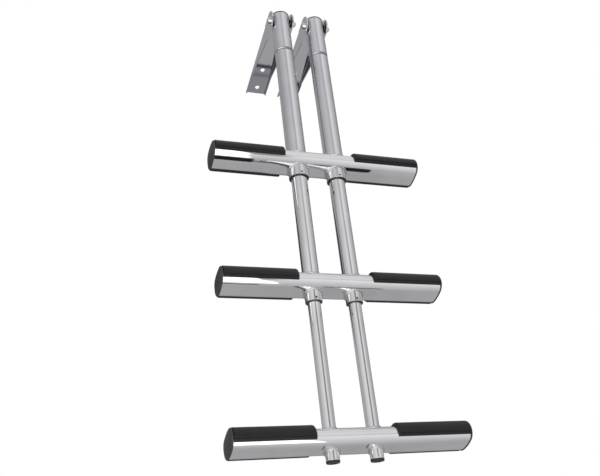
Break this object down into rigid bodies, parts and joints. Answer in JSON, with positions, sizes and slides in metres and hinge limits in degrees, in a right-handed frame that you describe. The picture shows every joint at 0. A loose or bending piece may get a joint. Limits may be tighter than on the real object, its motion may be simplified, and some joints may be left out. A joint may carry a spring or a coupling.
{
  "type": "boat boarding ladder",
  "caption": "Telescopic stainless boarding ladder with wide oval steps, rubber treads and folding bolt-down channel brackets.",
  "frame": {"origin": "the centre of the four mounting holes, on the plane of the two brackets' mounting faces, 139 mm from the fold axis", "axes": "+X to the right along the steps, +Y from the fold axis along the bracket channels, +Z square out of the mounting faces; the poles hang towards -Z, leaning 12 degrees towards +Y at rest"},
  "size_m": [0.352, 0.1982, 0.7653],
  "materials": {
    "tube_steel": "polished stainless tube, light drawn grain along the pole",
    "step_steel": "mirror polished stainless with fine lengthwise polishing marks",
    "bracket_steel": "satin brushed stainless sheet",
    "fastener_steel": "bright turned and cold headed stainless",
    "tread_rubber": "semi-gloss moulded rubber, ribbed standing face",
    "end_cap_plastic": "matt moulded plastic, dark grey",
    "nylon_black": "black nylon, satin"
  },
  "bodies": {
    "brackets": {"left_bracket": "bracket_steel", "right_bracket": "bracket_steel", "pivot_bolts": "fastener_steel", "pivot_washers": "fastener_steel", "pivot_lock_nuts": "fastener_steel"},
    "upper_section": {"left_upper_tube": "tube_steel", "left_top_cap": "nylon_black", "left_pivot_bushes": "nylon_black", "left_upper_guide_bush": "nylon_black", "right_upper_tube": "tube_steel", "right_top_cap": "nylon_black", "right_pivot_bushes": "nylon_black", "right_upper_guide_bush": "nylon_black", "upper_bush_rivets": "nylon_black", "upper_step": "step_steel", "upper_left_tread": "tread_rubber", "upper_right_tread": "tread_rubber", "upper_left_end_cap": "end_cap_plastic", "upper_right_end_cap": "end_cap_plastic"},
    "middle_section": {"left_middle_tube": "tube_steel", "left_middle_slider": "nylon_black", "left_middle_guide_bush": "nylon_black", "right_middle_tube": "tube_steel", "right_middle_slider": "nylon_black", "right_middle_guide_bush": "nylon_black", "middle_bush_rivets": "nylon_black", "middle_step": "step_steel", "middle_left_tread": "tread_rubber", "middle_right_tread": "tread_rubber", "middle_left_end_cap": "end_cap_plastic", "middle_right_end_cap": "end_cap_plastic"},
    "lower_section": {"left_lower_tube": "tube_steel", "left_lower_slider": "nylon_black", "left_foot_plug": "nylon_black", "right_lower_tube": "tube_steel", "right_lower_slider": "nylon_black", "right_foot_plug": "nylon_black", "lower_step": "step_steel", "lower_left_tread": "tread_rubber", "lower_right_tread": "tread_rubber", "lower_left_end_cap": "end_cap_plastic", "lower_right_end_cap": "end_cap_plastic"}
  },
  "joints": [
    {"name": "ladder_fold", "type": "hinge", "parent": "brackets", "child": "upper_section", "pos_m": [0, -0.139, -0.0165], "axis": [1, 0, 0], "range_deg": [-173, 73]},
    {"name": "middle_slide", "type": "slide", "parent": "upper_section", "child": "middle_section", "axis": [0, -0.2079, 0.9781], "range_m": [0, 0.16]},
    {"name": "lower_slide", "type": "slide", "parent": "middle_section", "child": "lower_section", "axis": [0, -0.2079, 0.9781], "range_m": [0, 0.175]}
  ]
}
